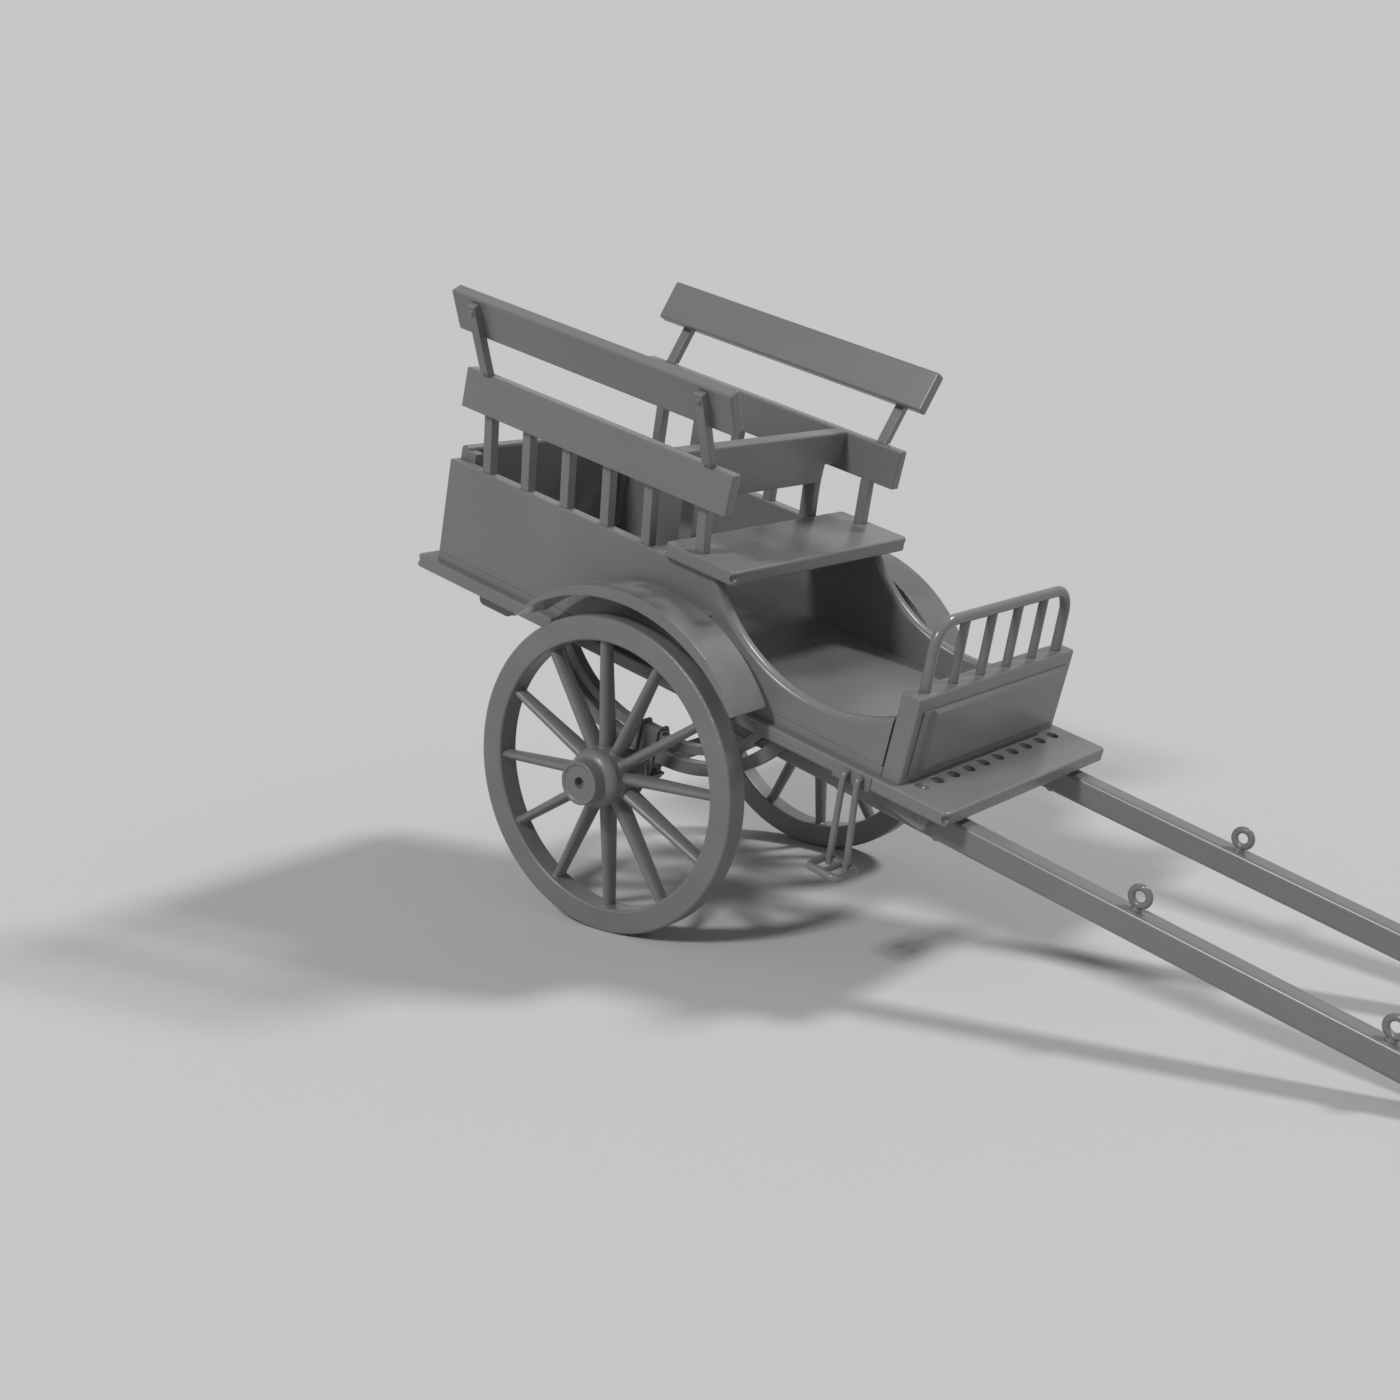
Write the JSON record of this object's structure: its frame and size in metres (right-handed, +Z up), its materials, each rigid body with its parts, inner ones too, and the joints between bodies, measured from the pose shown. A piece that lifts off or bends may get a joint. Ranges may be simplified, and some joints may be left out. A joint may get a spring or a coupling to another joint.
{
  "type": "horse-drawn cart",
  "caption": "Two-wheeled horse-drawn passenger cart with spoked wheels, leaf springs, shafts, a driver's seat, side rails, a dash with a hoop rail and a hanging step, parked on its shaft tips.",
  "frame": {"origin": "on the ground, under the middle of the cart's bounding box, the cart parked on wheels and shaft tips", "axes": "+X towards the shaft tips, +Y towards the cart's left side, +Z up"},
  "size_m": [4.2742, 1.73, 2.3653],
  "materials": {
    "grey_painted_wood": "satin",
    "grey_painted_iron": "satin"
  },
  "bodies": {
    "cart": {"axle_beam": "grey_painted_iron", "floor_board": "grey_painted_wood", "floor_lining": "grey_painted_wood", "tail_board": "grey_painted_wood", "dash_board": "grey_painted_wood", "dash_panel": "grey_painted_wood", "dash_hoop": "grey_painted_iron", "dash_spindles": "grey_painted_iron", "seat_plank": "grey_painted_wood", "seat_beam": "grey_painted_wood", "cross_rail": "grey_painted_wood", "cross_posts": "grey_painted_wood", "step_plate": "grey_painted_iron", "step": "grey_painted_iron", "side_panel_left": "grey_painted_wood", "side_panel_right": "grey_painted_wood", "corner_post_left": "grey_painted_wood", "corner_post_right": "grey_painted_wood", "swept_panel_left": "grey_painted_wood", "swept_panel_right": "grey_painted_wood", "rail_posts_left": "grey_painted_wood", "rail_posts_right": "grey_painted_wood", "lower_rail_left": "grey_painted_wood", "lower_rail_right": "grey_painted_wood", "upper_rail_left": "grey_painted_wood", "upper_rail_right": "grey_painted_wood", "rail_brackets_left": "grey_painted_iron", "rail_brackets_right": "grey_painted_iron", "shaft_left": "grey_painted_wood", "shaft_right": "grey_painted_wood", "shaft_packing_left": "grey_painted_wood", "shaft_packing_right": "grey_painted_wood", "shaft_eyes_left": "grey_painted_iron", "shaft_eyes_right": "grey_painted_iron", "floor_blocks_left": "grey_painted_wood", "floor_blocks_right": "grey_painted_wood", "leaf_spring_left": "grey_painted_iron", "leaf_spring_right": "grey_painted_iron", "spring_clamp_left": "grey_painted_iron", "spring_clamp_right": "grey_painted_iron", "mudguard_left": "grey_painted_iron", "mudguard_right": "grey_painted_iron"},
    "wheel_left": {"rim_left": "grey_painted_wood", "spokes_left": "grey_painted_wood", "hub_left": "grey_painted_wood"},
    "wheel_right": {"rim_right": "grey_painted_wood", "spokes_right": "grey_painted_wood", "hub_right": "grey_painted_wood"}
  },
  "joints": [
    {"name": "left_wheel_spin", "type": "hinge", "parent": "cart", "child": "wheel_left", "pos_m": [-1.02285, 0.697, 0.6], "axis": [0, 1, 0], "continuous": true},
    {"name": "right_wheel_spin", "type": "hinge", "parent": "cart", "child": "wheel_right", "pos_m": [-1.02285, -0.697, 0.6], "axis": [0, 1, 0], "continuous": true}
  ]
}
